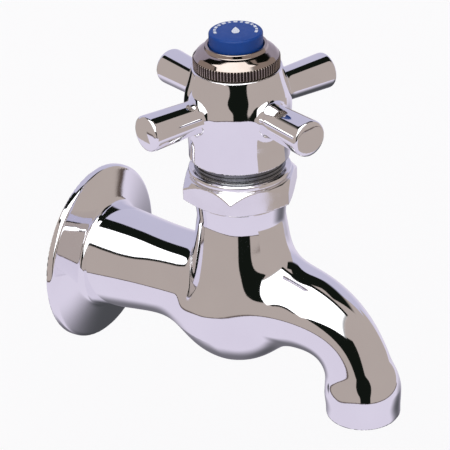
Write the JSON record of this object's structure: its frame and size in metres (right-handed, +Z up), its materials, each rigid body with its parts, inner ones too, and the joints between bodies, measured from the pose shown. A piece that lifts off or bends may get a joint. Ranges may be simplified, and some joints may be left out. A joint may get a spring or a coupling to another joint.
{
  "type": "hose bib",
  "caption": "Wall-mounted tap with a flanged threaded inlet, a bent plain-end spout and a self-closing cross handle.",
  "frame": {"origin": "centre of the inlet thread's mouth, in the plane of the wall flange's back face", "axes": "+X out of the wall along the inlet, +Z up along the valve axis, Y across; the body mirrors about y = 0"},
  "size_m": [0.1033, 0.0642, 0.1135],
  "materials": {
    "chrome": "polished chrome plate on brass",
    "ring_metal": "polished dark nickel plate, knurled",
    "index_plastic": "satin moulded",
    "brass": "turned",
    "steel": "bright stainless",
    "rubber": "moulded",
    "nylon": "natural"
  },
  "bodies": {
    "root": {"faucet_body": "chrome", "seat_insert": "brass", "bonnet_gasket": "rubber", "bonnet_o_ring": "rubber", "bonnet": "chrome", "guide_plate": "steel", "retaining_ring": "steel", "thrust_washer": "nylon", "return_spring": "steel", "stop_pin": "steel"},
    "handle": {"handle": "chrome", "driver": "brass", "driver_o_ring": "rubber", "handle_washer": "steel", "handle_lock_washer": "steel", "handle_screw": "steel", "knurled_ring": "ring_metal", "index_button": "index_plastic"},
    "stem": {"stem": "brass", "stem_o_ring": "rubber", "spring_washer": "steel", "seat_washer": "rubber", "seat_washer_screw": "brass"}
  },
  "joints": [
    {"name": "handle_turn", "type": "hinge", "parent": "root", "child": "handle", "pos_m": [0.0525, 0, 0.062], "axis": [0, 0, 1], "range_deg": [0, 90], "stiffness_Nm_per_rad": 0.02, "springref_deg": -85.94},
    {"name": "stem_lift", "type": "slide", "parent": "root", "child": "stem", "axis": [0, 0, 1], "range_m": [0, 0.00301], "deforming": ["return_spring"]}
  ],
  "couplings": [
    {"joint": "stem_lift", "follows": "handle_turn", "m_per_rad": 0.0019099}
  ]
}
